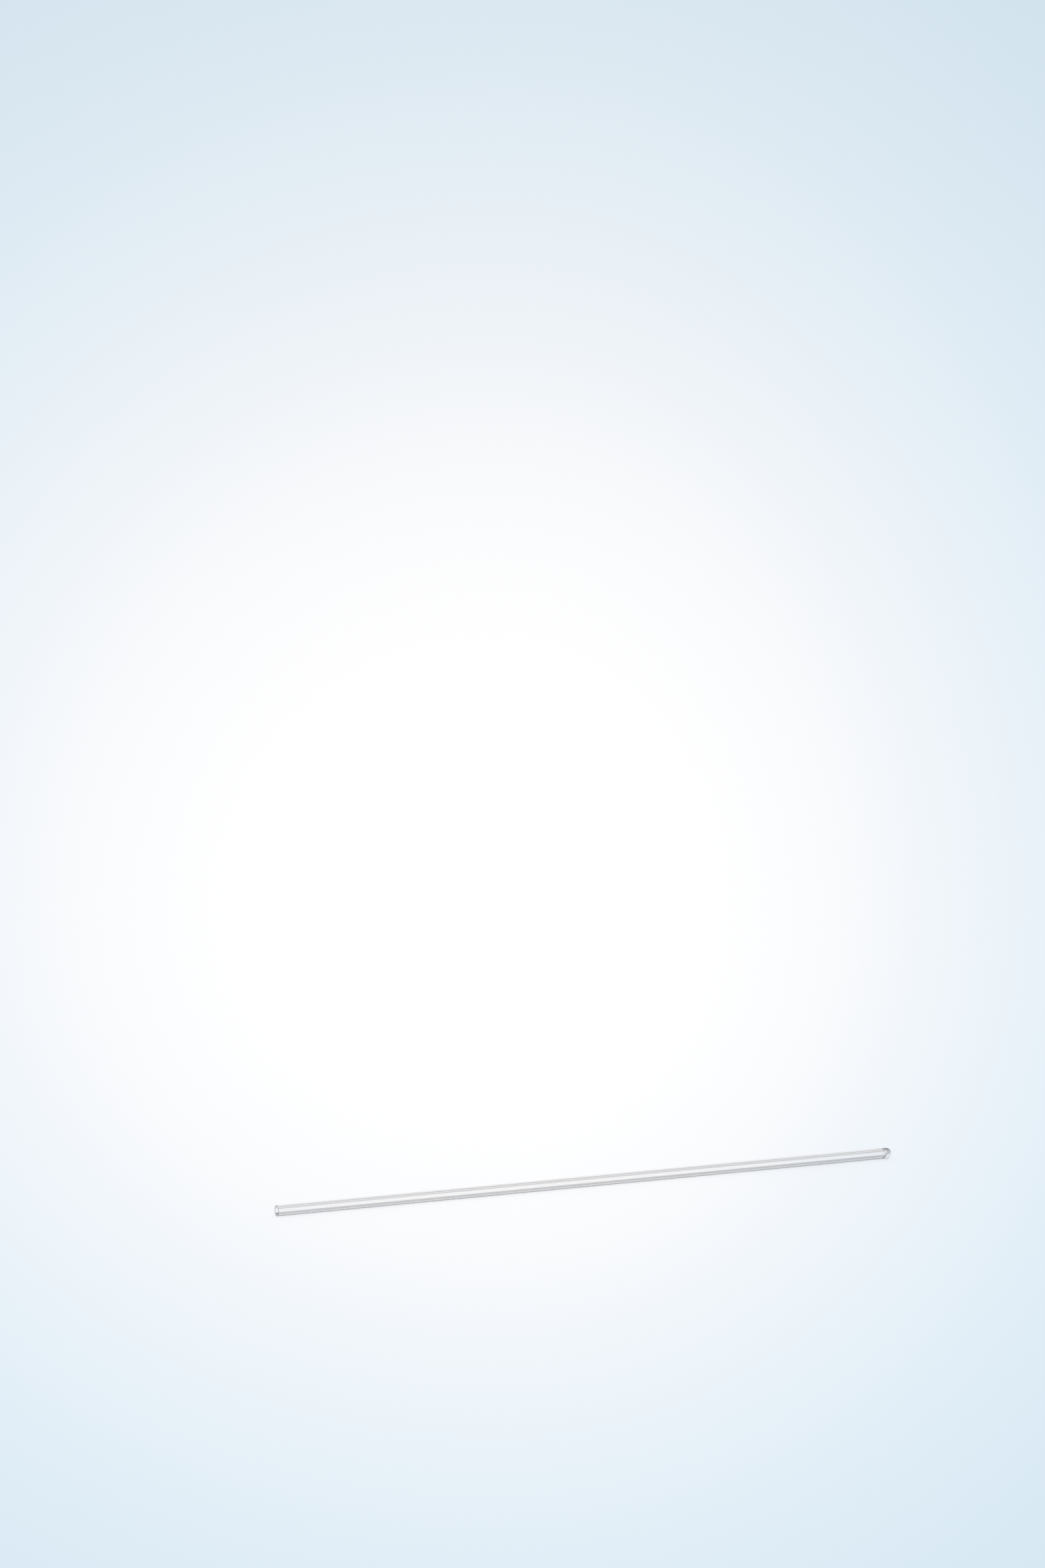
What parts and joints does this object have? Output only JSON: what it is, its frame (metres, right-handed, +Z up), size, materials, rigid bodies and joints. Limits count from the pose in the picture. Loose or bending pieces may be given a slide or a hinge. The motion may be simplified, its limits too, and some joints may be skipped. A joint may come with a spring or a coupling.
{
  "type": "melting point capillary tube",
  "caption": "Thin straight glass tube, cut open at one end and melted shut at the other, that holds a powdered sample while its melting point is measured.",
  "frame": {"origin": "on the surface that the tube lies on, under the middle of its length", "axes": "+X along the tube from its open mouth to its sealed tip, +Z up, +Y completes a right-handed set"},
  "size_m": [0.08, 0.0014, 0.0013],
  "materials": {
    "clear_glass": "clear drawn glass, flame-polished at the sealed tip"
  },
  "bodies": {
    "root": {"capillary_tube": "clear_glass"}
  },
  "joints": []
}
